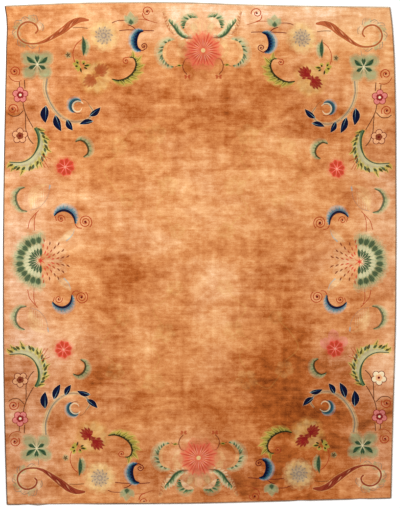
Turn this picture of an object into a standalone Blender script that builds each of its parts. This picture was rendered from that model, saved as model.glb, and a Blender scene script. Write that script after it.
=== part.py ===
"""Chinese Art Deco rug: a flat, hand-knotted wool rug with overcast sides and narrow woven ends.

The rug lies flat. X runs across it, Y along it and Z up, with the origin on its underside at the
middle of its outline. A point of the plan is first given in the nominal rectangle, and lie() then
moves it to where the cloth really lies, because the sides bow out and the ends aren't square.
"""
from typing import NamedTuple

import bmesh
import bpy
import numpy as np
from mathutils import Vector

# Driving dimensions, in metres
WIDTH = 2.743            # 9 ft
LENGTH = 3.505           # 11 ft 6 in
THICK = 0.013            # foundation and pile together
PILE_ROUND = 0.005       # how far the pile rounds over at the edge
SELVEDGE_WIDE = 0.008
SELVEDGE_HIGH = 0.0075
WEB_WIDE = 0.009
WEB_THICK = 0.004
WEB_ROUND = 0.0008
GAP = 0.0003             # between a piece and its neighbour

# How finely the outline is stepped
SIDE_STEPS = 48
END_STEPS = 38
ROUND_STEPS = 3
CORD_SIDES = 7           # faces over the round top of a selvedge

HALF_WIDE = WIDTH / 2
HALF_LONG = LENGTH / 2
PILE_HALF_X = HALF_WIDE - SELVEDGE_WIDE - GAP
PILE_HALF_Y = HALF_LONG - WEB_WIDE - GAP

# Every piece is stepped at the same places, so that neighbours run side by side
ACROSS = np.linspace(-PILE_HALF_X, PILE_HALF_X, END_STEPS + 1)
ALONG = np.linspace(-PILE_HALF_Y, PILE_HALF_Y, SIDE_STEPS + 1)


class EdgeRow(NamedTuple):
    """One place along an edge: how far along, from -1 to 1, and how far the edge is pulled in there."""
    along: float
    pull: float


# The long sides, from the bottom end to the top end
LEFT_EDGE = (
    EdgeRow(-1.00, 0.026),
    EdgeRow(-0.82, 0.016),
    EdgeRow(-0.60, 0.007),
    EdgeRow(-0.35, 0.001),
    EdgeRow(-0.12, 0.000),
    EdgeRow(0.11, 0.001),
    EdgeRow(0.35, 0.006),
    EdgeRow(0.62, 0.015),
    EdgeRow(0.82, 0.022),
    EdgeRow(0.95, 0.024),
    EdgeRow(1.00, 0.011),
)
RIGHT_EDGE = (
    EdgeRow(-1.00, 0.036),
    EdgeRow(-0.82, 0.029),
    EdgeRow(-0.60, 0.019),
    EdgeRow(-0.30, 0.005),
    EdgeRow(-0.05, 0.001),
    EdgeRow(0.10, 0.000),
    EdgeRow(0.25, 0.001),
    EdgeRow(0.62, 0.005),
    EdgeRow(0.84, 0.017),
    EdgeRow(0.94, 0.030),
    EdgeRow(1.00, 0.044),
)
# The two ends, from the left side to the right side
BOTTOM_EDGE = (
    EdgeRow(-1.00, 0.000),
    EdgeRow(-0.50, 0.005),
    EdgeRow(0.00, 0.010),
    EdgeRow(0.50, 0.027),
    EdgeRow(1.00, 0.045),
)
TOP_EDGE = (
    EdgeRow(-1.00, 0.025),
    EdgeRow(-0.84, 0.016),
    EdgeRow(-0.66, 0.006),
    EdgeRow(-0.45, 0.001),
    EdgeRow(-0.27, 0.000),
    EdgeRow(-0.09, 0.001),
    EdgeRow(0.20, 0.014),
    EdgeRow(0.50, 0.024),
    EdgeRow(1.00, 0.033),
)


class Finish(NamedTuple):
    """A material's name, its linear colour and its roughness."""
    name: str
    colour: tuple
    roughness: float


WOOL_PILE = Finish("wool_pile", (0.66, 0.28, 0.10, 1.0), 0.9)
SELVEDGE_WOOL = Finish("selvedge_wool", (0.19, 0.11, 0.065, 1.0), 0.85)
COTTON_WEB = Finish("cotton_web", (0.55, 0.42, 0.27, 1.0), 0.85)


def pulled_in(edge, along):
    """How far an edge is pulled in at a place along it, on a smooth curve through its table's rows."""
    places = np.array([row.along for row in edge])
    pulls = np.array([row.pull for row in edge])
    slopes = np.gradient(pulls, places)
    row = min(max(int(np.searchsorted(places, along)) - 1, 0), len(edge) - 2)
    span = places[row + 1] - places[row]
    part = (along - places[row]) / span
    rest = 1.0 - part
    return (
        pulls[row] * rest * rest * (1.0 + 2.0 * part)
        + pulls[row + 1] * part * part * (1.0 + 2.0 * rest)
        + span * part * rest * (slopes[row] * rest - slopes[row + 1] * part)
    )


def lie(x, y):
    """Where a point of the nominal rectangle lies on the real, uneven rug."""
    across = x / HALF_WIDE
    along = y / HALF_LONG
    left = -HALF_WIDE + pulled_in(LEFT_EDGE, along)
    right = HALF_WIDE - pulled_in(RIGHT_EDGE, along)
    bottom = -HALF_LONG + pulled_in(BOTTOM_EDGE, across)
    top = HALF_LONG - pulled_in(TOP_EDGE, across)
    return (
        left + (right - left) * (across + 1.0) / 2.0,
        bottom + (top - bottom) * (along + 1.0) / 2.0,
    )


def clear_scene():
    for old in list(bpy.data.objects):
        bpy.data.objects.remove(old, do_unlink=True)


def finish_material(finish):
    material = bpy.data.materials.new(finish.name)
    material.use_nodes = True
    shader = material.node_tree.nodes["Principled BSDF"]
    shader.inputs["Base Color"].default_value = finish.colour
    shader.inputs["Roughness"].default_value = finish.roughness
    shader.inputs["Metallic"].default_value = 0.0
    return material


def add_object(name, shape, finish):
    """Turns a finished bmesh into a named object with its material."""
    bmesh.ops.recalc_face_normals(shape, faces=shape.faces)
    mesh = bpy.data.meshes.new(name)
    shape.to_mesh(mesh)
    shape.free()
    mesh.materials.append(finish_material(finish))
    piece = bpy.data.objects.new(name, mesh)
    bpy.context.collection.objects.link(piece)
    return piece


def pile_outline():
    """The plan outline of the pile, anticlockwise from its lower left corner."""
    bottom = [lie(x, -PILE_HALF_Y) for x in ACROSS[:-1]]
    right = [lie(PILE_HALF_X, y) for y in ALONG[:-1]]
    top = [lie(x, PILE_HALF_Y) for x in ACROSS[:0:-1]]
    left = [lie(-PILE_HALF_X, y) for y in ALONG[:0:-1]]
    return bottom + right + top + left


def make_body():
    """The pile and its foundation, one flat solid whose top edge rounds over."""
    shape = bmesh.new()
    corners = [shape.verts.new((x, y, 0.0)) for x, y in pile_outline()]
    underside = shape.faces.new(corners)
    raised = bmesh.ops.extrude_face_region(shape, geom=[underside])["geom"]
    lifted = [item for item in raised if isinstance(item, bmesh.types.BMVert)]
    bmesh.ops.translate(shape, verts=lifted, vec=(0.0, 0.0, THICK))
    rim = [
        edge for edge in shape.edges
        if all(vert.co.z > THICK / 2 for vert in edge.verts)
    ]
    bmesh.ops.bevel(
        shape, geom=rim, offset=PILE_ROUND, segments=ROUND_STEPS, profile=0.5,
        affect="EDGES", material=-1,
    )
    return add_object("rug_body", shape, WOOL_PILE)


def cord_section():
    """A selvedge's section: flat underneath and round on top, as (across, height) points."""
    flat = SELVEDGE_WIDE / 4
    angles = np.linspace(0.0, np.pi, CORD_SIDES + 1)
    low = SELVEDGE_HIGH / 2
    over = [
        (SELVEDGE_WIDE / 2 * np.cos(angle), low + low * np.sin(angle))
        for angle in angles
    ]
    return [(-flat, 0.0), (flat, 0.0)] + over


def web_section():
    """An end web's section: a thin strip with its two upper edges eased."""
    half = WEB_WIDE / 2
    shoulder = WEB_THICK - WEB_ROUND
    return [
        (-half, 0.0),
        (half, 0.0),
        (half, shoulder),
        (half - WEB_ROUND, WEB_THICK),
        (-half + WEB_ROUND, WEB_THICK),
        (-half, shoulder),
    ]


def make_strip(name, section, stations, sideways, finish):
    """A strip of one section, drawn out through its stations, each a point of the nominal plan."""
    def place(verts, station):
        for vert, (across, height) in zip(verts, section):
            x, y = lie(*(Vector(station) + Vector(sideways) * across))
            vert.co = (x, y, height)

    shape = bmesh.new()
    ring = [shape.verts.new((0.0, 0.0, 0.0)) for _ in section]
    place(ring, stations[0])
    start_cap = shape.faces.new(ring)
    face = start_cap
    for station in stations[1:]:
        grown = bmesh.ops.extrude_face_region(shape, geom=[face])["geom"]
        if face is not start_cap:
            bmesh.ops.delete(shape, geom=[face], context="FACES_ONLY")
        face = next(item for item in grown if isinstance(item, bmesh.types.BMFace))
        place([loop.vert for loop in face.loops], station)
    return add_object(name, shape, finish)


def make_selvedge(name, side):
    """The overcast cord along one long side, from end to end of the rug."""
    middle = side * (HALF_WIDE - SELVEDGE_WIDE / 2)
    stations = [(middle, y) for y in (-HALF_LONG, *ALONG, HALF_LONG)]
    piece = make_strip(name, cord_section(), stations, (1.0, 0.0), SELVEDGE_WOOL)
    piece.data.shade_smooth()
    piece.data.set_sharp_from_angle(angle=np.radians(50.0))
    return piece


def make_end_web(name, end):
    """The woven web across one end, between the two selvedges."""
    middle = end * (HALF_LONG - WEB_WIDE / 2)
    stations = [(x, middle) for x in ACROSS]
    return make_strip(name, web_section(), stations, (0.0, 1.0), COTTON_WEB)


clear_scene()
make_body()
make_selvedge("selvedge_left", -1.0)
make_selvedge("selvedge_right", 1.0)
make_end_web("end_web_top", 1.0)
make_end_web("end_web_bottom", -1.0)
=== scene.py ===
"""Chinese Art Deco rug: the knotted pile with its flowers and scrolls, the overcast sides and the ends.

The drawing is laid out like the weaver's cartoon. One quarter, half of an end and half of a side are
drawn in their own plan, in metres from the middle of the design, and are then turned over for the
other quarters. Every coat of wool is a closed outline, and later coats lie over earlier ones. The
pile is then one mesh whose faces follow all those outlines, clipped a little lower along the main
ones, as a carver's shears leave them.
"""
import math
from typing import NamedTuple

import bmesh
import bpy
import numpy as np
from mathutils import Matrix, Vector, kdtree, noise
from mathutils.geometry import delaunay_2d_cdt


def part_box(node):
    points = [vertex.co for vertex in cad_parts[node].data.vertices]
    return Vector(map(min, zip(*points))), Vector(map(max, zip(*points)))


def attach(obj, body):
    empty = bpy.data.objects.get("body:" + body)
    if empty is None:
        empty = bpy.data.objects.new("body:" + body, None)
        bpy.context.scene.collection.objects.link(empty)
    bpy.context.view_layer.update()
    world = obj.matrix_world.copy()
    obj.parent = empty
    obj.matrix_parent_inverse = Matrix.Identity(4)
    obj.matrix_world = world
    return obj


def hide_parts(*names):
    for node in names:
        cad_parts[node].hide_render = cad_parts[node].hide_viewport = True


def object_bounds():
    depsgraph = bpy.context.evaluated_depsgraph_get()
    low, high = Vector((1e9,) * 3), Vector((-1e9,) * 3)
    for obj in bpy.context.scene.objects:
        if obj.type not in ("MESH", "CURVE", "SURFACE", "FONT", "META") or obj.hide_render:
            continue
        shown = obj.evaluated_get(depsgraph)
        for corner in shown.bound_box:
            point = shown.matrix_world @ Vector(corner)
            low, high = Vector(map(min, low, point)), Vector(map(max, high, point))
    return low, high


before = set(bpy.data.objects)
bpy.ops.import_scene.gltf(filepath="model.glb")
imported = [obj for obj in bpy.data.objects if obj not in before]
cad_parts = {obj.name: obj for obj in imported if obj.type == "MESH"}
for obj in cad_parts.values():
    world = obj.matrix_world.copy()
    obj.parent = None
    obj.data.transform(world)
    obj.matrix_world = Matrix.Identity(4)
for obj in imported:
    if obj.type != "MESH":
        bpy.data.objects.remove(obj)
CAD_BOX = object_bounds()

# ---- sizes, in metres

PILE_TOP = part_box("rug_body")[1][2]
RUG_WIDTH = CAD_BOX[1][0] - CAD_BOX[0][0]
RUG_LENGTH = CAD_BOX[1][1] - CAD_BOX[0][1]

DESIGN_MIDDLE_Y = -0.046      # the weaver's middle lies a little towards the darker end
OUTLINE_STEP = 0.009          # between the points of a drawn curve
LINE_STEP = 0.014             # and along a thin drawn line
THREAD = 0.0062               # such a line, about two knots wide

CARVE_DEEP = 0.0014           # how far the shears cut down beside a motif
CARVE_REACH = 0.0045          # how far from the outline the cut reaches
FIELD_STEP = 0.038            # between the points of the plain ground
FIELD_CLEAR = 0.012           # from those points to any outline
BACK_STEP = 0.080             # the same on the back
NUDGE = 0.3                   # how far those points lie off their rows at most, as a share of a step
SHOWS_THROUGH = 0.9           # of several coats of a shape, the back shows the fullest and any above this
BACK_LEAST = 0.0022           # the least area times cover, in square metres, that the back shows
EDGE_STEP = 0.024             # along the edge of the pile
EDGE_WAVER = 0.0009           # how unevenly the edge of the pile runs
EDGE_CLEAR = 0.004            # from a drawn figure to the rounding of that edge
EDGE_CHAIN = 0.965            # points beyond this share of the half width or length are on that side
SURELY_INSIDE = 0.94          # and places within this share are inside all four

FLAT = 1e-5                   # below this height a point lies on the floor
KNOT = 0.0034                 # 90 knots to the foot
MM = 0.001

# ---- dyed wools, sRGB

WOOLS = {
    "navy": "#0A0E2A",
    "blue": "#1E466E",
    "deep teal": "#1D4450",
    "teal": "#3E7C86",
    "pale blue": "#8DAFB4",
    "slate": "#6F7264",
    "bottle green": "#26412B",
    "leaf green": "#4F6C43",
    "sage": "#8A9B6F",
    "pale sage": "#B9B98E",
    "olive": "#A8963A",
    "pale olive": "#CDB65C",
    "dark olive": "#322C12",
    "gold": "#D3A055",
    "pale gold": "#E7C285",
    "cream": "#EFD9B0",
    "mauve": "#8D7B70",
    "grey": "#A8957A",
    "peach": "#E5A676",
    "brick": "#AC3F1E",
    "rust": "#A54A22",
    "brick red": "#8C2A17",
    "dark rust": "#7C3318",
    "maroon": "#6C1612",
    "crimson": "#8C1A1A",
    "red": "#CE4130",
    "coral": "#DC6A4C",
    "rose": "#DE8278",
    "pink": "#EFA890",
    "brown": "#6A3A20",
}


def linear(hex_colour):
    """An sRGB hex colour as linear red, green and blue."""
    parts = [int(hex_colour[i:i + 2], 16) / 255 for i in (1, 3, 5)]
    return tuple(p / 12.92 if p <= 0.04045 else ((p + 0.055) / 1.055) ** 2.4 for p in parts)


DYES = {name: linear(colour) for name, colour in WOOLS.items()}


# ---- outlines, as arrays of plan points

def smooth(places, step=OUTLINE_STEP):
    """Points about a step apart on a smooth curve through the given places."""
    knots = np.array(places, float)
    knots = np.vstack([2 * knots[0] - knots[1], knots, 2 * knots[-1] - knots[-2]])
    points = []
    for before, start, end, after in zip(knots, knots[1:], knots[2:], knots[3:]):
        count = max(2, round(np.linalg.norm(end - start) / step))
        for t in np.arange(count) / count:
            points.append(0.5 * (
                2 * start + (end - before) * t
                + (2 * before - 5 * start + 4 * end - after) * t ** 2
                + (3 * start - before - 3 * end + after) * t ** 3
            ))
    points.append(knots[-2])
    return np.array(points)


def spiral(centre, inner, outer, start, turns, step=0.008):
    """A curl from its eye outwards; start is the angle of its outer end, in degrees."""
    count = max(8, round(abs(turns) * math.pi * (inner + outer) / step))
    share = np.linspace(0.0, 1.0, count)
    angle = math.radians(start) - (1 - share) * turns * 2 * math.pi
    radius = inner + (outer - inner) * share
    return np.column_stack([centre[0] + radius * np.cos(angle), centre[1] + radius * np.sin(angle)])


def sideways(path):
    """The unit vector to the left of a path at each of its points."""
    run = np.gradient(path, axis=0)
    left = np.column_stack([-run[:, 1], run[:, 0]])
    return left / np.maximum(np.linalg.norm(left, axis=1), 1e-9)[:, None]


def ribbon(path, wide, shift=0.0):
    """A strip along a path. wide and shift give its width and its set to the left, along the way."""
    share = np.linspace(0.0, 1.0, len(path))
    half = np.array([wide(s) if callable(wide) else wide for s in share])[:, None] / 2
    moved = np.array([shift(s) if callable(shift) else shift for s in share])[:, None]
    left = sideways(path)
    return np.vstack([path + left * (moved + half), (path + left * (moved - half))[::-1]])


def petal(base, tip, wide, widest=0.5, bow=0.0, blunt=1.0, steps=5):
    """A petal or leaf: widest is where along it, bow bends it to the left, blunt below 1 rounds it."""
    base, tip = np.array(base, float), np.array(tip, float)
    along = tip - base
    left = np.array([-along[1], along[0]]) / max(np.linalg.norm(along), 1e-9)
    share = np.linspace(0.0, 1.0, steps + 1)
    swell = np.sin(np.pi * share ** (math.log(0.5) / math.log(widest))) ** blunt
    spine = base + share[:, None] * along
    spine = spine + (bow * np.linalg.norm(along) * 4 * share * (1 - share))[:, None] * left
    half = (wide / 2 * swell)[:, None] * left
    return np.vstack([spine + half, (spine - half)[-2:0:-1]])


def rosette(centre, radius, lobes=0, depth=0.0, squash=1.0, turn=0.0, steps=None):
    """A disc, or a scalloped one with its lobes standing out by a share of the radius."""
    steps = steps or max(12, lobes * 5, round(2 * math.pi * radius / OUTLINE_STEP))
    angle = np.linspace(0.0, 2 * math.pi, steps, endpoint=False)
    reach = radius * (1.0 - depth + depth * np.abs(np.cos(lobes * (angle - turn) / 2)) ** 0.7)
    return np.column_stack([
        centre[0] + reach * np.cos(angle),
        centre[1] + squash * reach * np.sin(angle),
    ])


def polar(centre, radius, degrees):
    angle = math.radians(degrees)
    return (centre[0] + radius * math.cos(angle), centre[1] + radius * math.sin(angle))


def spoke(centre, inner, outer, degrees):
    """The two ends of a straight stroke that points at a centre."""
    return [polar(centre, inner, degrees), polar(centre, outer, degrees)]


def spear(centre, inner, outer, degrees, *shape, **more):
    """A petal that points at a centre."""
    return petal(*spoke(centre, inner, outer, degrees), *shape, **more)


def stood(path, index):
    """A point of a path, with the unit vectors to its left and forward along it."""
    left = sideways(path)[index]
    return path[index], left, np.array([left[1], -left[0]])


def swollen(path, swell, wide, shift):
    """A strip whose width and set to the left both rise and fall along the path."""
    return ribbon(path, lambda s: wide * swell(s), lambda s: shift * swell(s))


def grown(outline, by):
    """The outline moved outwards by a distance, or by one for each point; inwards where negative."""
    run = np.roll(outline, -1, axis=0) - np.roll(outline, 1, axis=0)
    out = np.column_stack([run[:, 1], -run[:, 0]])
    out = out / np.maximum(np.linalg.norm(out, axis=1), 1e-9)[:, None]
    return outline + out * np.broadcast_to(by, len(outline))[:, None] * (1 if area(outline) > 0 else -1)


def area(outline):
    """The area inside an outline, negative where it runs clockwise."""
    after = np.roll(outline, -1, axis=0)
    return np.sum(outline[:, 0] * after[:, 1] - after[:, 0] * outline[:, 1]) / 2


# ---- the drawing

class Patch(NamedTuple):
    """One coat of wool."""
    outline: np.ndarray
    wool: str
    cover: float              # how much of the wool below it hides
    carved: bool              # whether the shears cut round it
    on_back: bool             # whether the back may show it


class Sketch:
    """Coats of wool in the order in which they are laid."""

    def __init__(self):
        self.patches = []

    def lay(self, outline, wool, cover=1.0, carved=False, on_back=True):
        self.patches.append(Patch(np.asarray(outline), wool, cover, carved, on_back))

    def coats(self, outline, *coats, carved=False):
        """Several coats of one shape, each (wool, cover), or (wool, cover, how far it is grown)."""
        fullest = max(coats, key=lambda coat: coat[1])
        for coat in coats:
            wool, cover, by = (*coat, 0)[:3]
            self.lay(grown(outline, by) if by else outline, wool, cover, carved and by == 0,
                     on_back=coat is fullest or cover >= SHOWS_THROUGH)

    def stroke(self, path, wool, wide=THREAD, cover=1.0):
        self.lay(ribbon(path, wide), wool, cover, on_back=False)

    def line(self, places, wool, wide=THREAD, cover=1.0):
        """A thin drawn line through some places."""
        self.stroke(smooth(places, LINE_STEP), wool, wide, cover)

    def vein(self, places, wool, wide, cover, step=LINE_STEP):
        """A line that tapers along its way."""
        self.stroke(smooth(places, step), wool, lambda s: wide * (1.0 - 0.75 * s), cover)


def curl(sketch, centre, radius, start, turns, wool, eye=None, wide=THREAD):
    """A tendril's coil with a round eye."""
    sketch.stroke(spiral(centre, radius * 0.22, radius, start, turns), wool, wide)
    sketch.lay(rosette(centre, radius * 0.2, steps=8), eye or wool, on_back=False)


def fringe(sketch, path, count, reach, wide, lean, *coats, side=1.0, ends=0.45):
    """Leaflets standing along one side of a path, leaning forward, shorter towards its ends."""
    for number in range(count):
        share = (number + 0.5) / count
        root, left, run = stood(path, round(share * (len(path) - 1)))
        length = reach * (ends + (1 - ends) * math.sin(math.pi * share))
        tip = root + (left * side + run * lean) * length
        sketch.coats(petal(root, tip, wide, 0.35, blunt=0.8), *coats)


def corner_scroll(sketch, wool, shade):
    """The scroll in the corner, a comma whose tail thickens and tapers, in wisps of cloud."""
    middle = (1.187, 1.585)
    for turn, reach, wisp, cover in (
        (158, 0.108, "cream", 0.26), (112, 0.122, "pale sage", 0.38), (72, 0.112, "cream", 0.28),
        (40, 0.122, "sage", 0.34), (0, 0.116, "pale sage", 0.34), (-50, 0.12, "sage", 0.34),
        (-100, 0.118, "pale gold", 0.3),
    ):
        root, tip = polar(middle, 0.086, turn + 18), polar(middle, reach, turn - 24)
        sketch.lay(petal(root, tip, 0.056, blunt=0.7, bow=-0.2), wisp, cover * 0.7)
        sketch.lay(petal(root, tip, 0.03, blunt=0.7, bow=-0.2), wisp, cover)
        sketch.vein([polar(middle, 0.094, turn + 18), polar(middle, reach, turn),
                     polar(middle, reach - 0.012, turn - 22)], "slate", 0.0075, 0.62, OUTLINE_STEP)
        sketch.vein([polar(middle, 0.09, turn + 4), polar(middle, reach + 0.008, turn - 10)],
                    "slate", 0.0065, 0.48)
    eye = smooth([(1.146, 1.572), (1.128, 1.594), (1.138, 1.626), (1.172, 1.65), (1.212, 1.653),
                  (1.248, 1.63), (1.266, 1.588), (1.258, 1.546), (1.222, 1.512), (1.176, 1.501),
                  (1.13, 1.503)])[:-1]
    tail = smooth([(1.13, 1.503), (1.08, 1.52), (1.03, 1.548), (0.99, 1.574), (0.94, 1.607),
                   (0.885, 1.648), (0.827, 1.67), (0.766, 1.669)])
    path = np.vstack([eye, tail])
    begin = len(eye) / len(path)

    def wide(share):
        body = max(0.0, (share - begin) / (1 - begin))
        return 0.0125 + 0.035 * math.sin(math.pi * min(1.0, body * 1.01) ** 1.5) ** 0.8 * (body > 0)

    sketch.coats(ribbon(path, wide), ("pale gold", 0.25, 0.006), (wool, 0.92), carved=True)
    for number in range(17):
        place = 8 + round(number * (len(tail) - 18) / 16)
        point, left, run = stood(tail, place)
        body = 0.036 * math.sin(math.pi * (place / len(tail)) ** 1.5) ** 0.8
        start = point + left * body * (0.4, -0.05, 0.25)[number % 3] - run * 0.022
        stroke = petal(start, start + run * 0.05 - left * body * 0.45, 0.0085)
        sketch.lay(stroke, "peach" if number % 5 == 2 else shade, 0.62)


def clover(sketch):
    """The butterfly-shaped leaf cluster under the scroll: dark lobes on pale sage ones."""
    middle = (1.135, 1.36)
    lobes = ((34, 0.124, 0.084), (146, 0.124, 0.084), (-46, 0.122, 0.084), (-134, 0.122, 0.084),
             (90, 0.08, 0.07))
    for grow, wool, cover in ((0.016, "pale sage", 0.22), (0.007, "sage", 0.3), (-0.006, "sage", 0.48)):
        for aim, reach, wide in lobes:
            lobe = petal(middle, polar(middle, reach, aim), wide, 0.62, blunt=0.65, steps=7)
            sketch.lay(grown(lobe, grow), wool, cover, carved=grow == 0.007)
    for aim, reach, wide, bow in ((36, 0.09, 0.026, -0.1), (24, 0.072, 0.018, 0.0),
                                  (144, 0.09, 0.026, 0.1), (156, 0.072, 0.018, 0.0),
                                  (-26, 0.066, 0.024, -0.05), (-154, 0.066, 0.024, 0.05),
                                  (98, 0.06, 0.015, 0.0), (80, 0.06, 0.015, 0.0)):
        dark = spear(middle, 0.01, reach, aim, wide, 0.6, bow=bow)
        sketch.coats(dark, ("leaf green", 0.45, 0.005), ("bottle green", 0.95))
        for turn in (-14, 12):
            sketch.vein([polar(middle, 0.03, aim + turn * 0.5), polar(middle, reach * 0.86, aim + turn)],
                        "leaf green", 0.004, 0.7)
    for aim in (62, 118, 4, 176, -52, -128, -90):
        sketch.vein([middle, polar(middle, 0.052, aim)], "cream", 0.0052, 0.75)
    for aim in (-40, -66, -114, -140):
        sketch.vein(spoke(middle, 0.028, 0.064, aim), "bottle green", 0.0046, 0.7)
    sketch.line([(1.12, 1.44), (1.116, 1.478)], "slate", 0.0045, 0.7)


def hazed(sketch, middle, radius, wool, cover, lobes=9):
    """A soft-edged round patch of one wool, laid in three coats."""
    for share, part in ((1.0, 0.45), (0.88, 0.6), (0.74, 1.0)):
        sketch.lay(rosette(middle, radius * share, lobes, 0.13, turn=share), wool, cover * part)


def mauve_flower(sketch):
    """A round cream-gold flower with a hatched mauve heart."""
    middle = (0.664, 1.566)
    hazed(sketch, middle, 0.124, "pale gold", 0.4, 13)
    for number in range(14):
        aim = number * 360 / 14 + 11
        sketch.lay(spear(middle, 0.04, 0.1, aim, 0.022, 0.66, blunt=0.7),
                   "pale gold" if number % 3 else "gold", 0.34, carved=number % 2 == 0)
    hazed(sketch, middle, 0.068, "grey", 0.44, 11)
    for number in range(30):
        aim = number * 360 / 30 + 5 * math.sin(number * 2.3)
        inner, outer = ((0.008, 0.026), (0.028, 0.046), (0.048, 0.066))[number % 3]
        sketch.lay(petal(polar(middle, inner, aim), polar(middle, outer, aim + 9), 0.01), "mauve", 0.78)


def crimson_flower(sketch, crest):
    """A gold flower crossed aslant by a crest of dark red petals."""
    middle = (0.724, 1.286)
    hazed(sketch, (0.722, 1.27), 0.132, "gold", 0.3, 7)
    for aim, reach in ((200, 0.118), (232, 0.124), (264, 0.128), (296, 0.12), (330, 0.104), (20, 0.104),
                       (52, 0.098), (84, 0.092), (168, 0.1)):
        plume = spear(middle, 0.03, reach, aim, 0.044, 0.62, blunt=0.7)
        sketch.coats(plume, ("pale gold", 0.14, 0.004), ("pale gold", 0.16, -0.006))
    axis = 138
    solid = 0.92 if crest == "crimson" else 0.55
    for end in (0, 180):
        for turn, inner, reach, wide in (
            (-46, 0.028, 0.062, 0.015), (-29, 0.022, 0.088, 0.019), (-14, 0.016, 0.102, 0.021),
            (0, 0.01, 0.11, 0.021), (13, 0.016, 0.106, 0.02), (27, 0.022, 0.086, 0.019),
            (44, 0.028, 0.064, 0.015),
        ):
            aim = axis + end + turn
            petal_red = spear(middle, inner, reach, aim, wide, 0.6, blunt=0.8)
            sketch.coats(petal_red, ("rust", 0.35, 0.004), (crest, solid), carved=abs(turn) < 20)
            sketch.vein(spoke(middle, reach * 0.45, reach * 0.85, aim), "brick", 0.004, 0.6)
    sketch.lay(petal(polar(middle, 0.07, axis), polar(middle, 0.07, axis + 180), 0.03, blunt=0.6),
               crest, solid * 0.9)
    for number in range(6):
        side = 90 if number % 2 else -90
        root = polar(middle, 0.045 - 0.018 * number, axis)
        barb = petal(root, polar(root, 0.038, axis + side * 0.45), 0.013)
        sketch.lay(barb, crest, solid)


def red_spray(sketch):
    """The narrow leaf on its red stem, with an olive floret at the foot and a small bud."""
    sketch.coats(petal((0.79, 1.424), (0.79, 1.54), 0.056, bow=-0.04),
                 ("pale sage", 0.35, 0.008), ("sage", 0.6, -0.004))
    dark = petal((0.808, 1.42), (0.814, 1.56), 0.03, bow=0.04)
    sketch.coats(dark, ("leaf green", 0.6, 0.003), ("bottle green", 0.92, -0.002), carved=True)
    for number in range(5):
        foot = 1.44 + number * 0.022
        sketch.vein([(0.806, foot), (0.772, foot + 0.012)], "leaf green", 0.0045, 0.6)
    sketch.line([(0.82, 1.534), (0.858, 1.5), (0.88, 1.445), (0.874, 1.392), (0.85, 1.358)], "brick",
                0.0055)
    for base, tip, wide in (((0.836, 1.352), (0.884, 1.366), 0.03), ((0.84, 1.368), (0.862, 1.394), 0.022),
                            ((0.836, 1.352), (0.85, 1.312), 0.026), ((0.82, 1.372), (0.792, 1.384), 0.02),
                            ((0.8, 1.35), (0.756, 1.362), 0.022), ((0.83, 1.346), (0.868, 1.33), 0.02)):
        sketch.coats(petal(base, tip, wide, 0.45), ("pale olive", 0.45, 0.004), ("olive", 0.85))
    for base, tip in (((0.806, 1.352), (0.764, 1.36)), ((0.806, 1.344), (0.78, 1.332)),
                      ((0.832, 1.34), (0.824, 1.304)), ((0.842, 1.366), (0.858, 1.38)),
                      ((0.846, 1.35), (0.87, 1.346)), ((0.812, 1.36), (0.8, 1.376))):
        sketch.lay(petal(base, tip, 0.014), "dark olive", 0.95)
    sketch.lay(rosette((0.915, 1.424), 0.026, 5, 0.25), "sage", 0.4)
    for aim in (10, 80, 150, 225, 300):
        sketch.lay(petal((0.915, 1.424), polar((0.915, 1.424), 0.019, aim), 0.009), "dark olive", 0.85)


def end_stems(sketch):
    """Long thin stems, a coil and a bud between the corner and the middle of the end."""
    sketch.line([(0.882, 1.614), (0.83, 1.617), (0.776, 1.612)], "brown", cover=0.75)
    sketch.line([(0.606, 1.654), (0.57, 1.668), (0.5, 1.67)], "maroon", 0.006, 0.85)
    sketch.line([(0.556, 1.598), (0.5, 1.604), (0.4, 1.604), (0.318, 1.599)], "maroon", 0.0065, 0.9)
    sketch.line([(0.498, 1.64), (0.466, 1.628), (0.44, 1.606)], "maroon", 0.006)
    sketch.line([(0.43, 1.68), (0.37, 1.676), (0.292, 1.652)], "rust", 0.006, 0.75)
    sketch.line([(0.394, 1.722), (0.384, 1.69), (0.35, 1.672)], "brick")
    curl(sketch, (0.36, 1.734), 0.038, 190, 1.3, "brick", "maroon")
    for base, tip, wide in (((0.472, 1.64), (0.478, 1.73), 0.052), ((0.478, 1.642), (0.518, 1.704), 0.04),
                            ((0.464, 1.642), (0.43, 1.7), 0.036)):
        sketch.coats(petal(base, tip, wide), ("pale sage", 0.3, 0.007), ("sage", 0.5))
    sketch.coats(petal((0.474, 1.636), (0.478, 1.684), 0.04, 0.4), ("leaf green", 0.55),
                 ("bottle green", 0.75, -0.006), carved=True)


def swelling(reach, power=0.75, least=0.003):
    """A width along a crescent: nothing at its tips, most at its middle."""
    return lambda s: least + reach * math.sin(math.pi * min(1.0, max(0.0, s))) ** power


def crescent(sketch, arc, side, halo, body, edge, hatch=None, count=9):
    """A crescent leaf whose dark edge is the arc; the rest lies to one side.

    halo and body hold (wool, cover, reach), edge one such row, hatch one with the leaflets' width.
    """
    def band(reach):
        return ribbon(arc, swelling(reach), lambda s: side * (swelling(reach)(s) / 2))

    for wool, cover, reach in halo:
        sketch.lay(band(reach), wool, cover)
    for wool, cover, reach in body:
        sketch.lay(band(reach), wool, cover, carved=reach == body[0][2])
    if hatch:
        wool, cover, reach, wide = hatch
        fringe(sketch, arc, count, reach, wide, 0.18, (wool, cover), side=side, ends=0.35)
    wool, cover, reach = edge
    sketch.lay(ribbon(arc, swelling(reach, 0.6, 0.004)), wool, cover)


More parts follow.
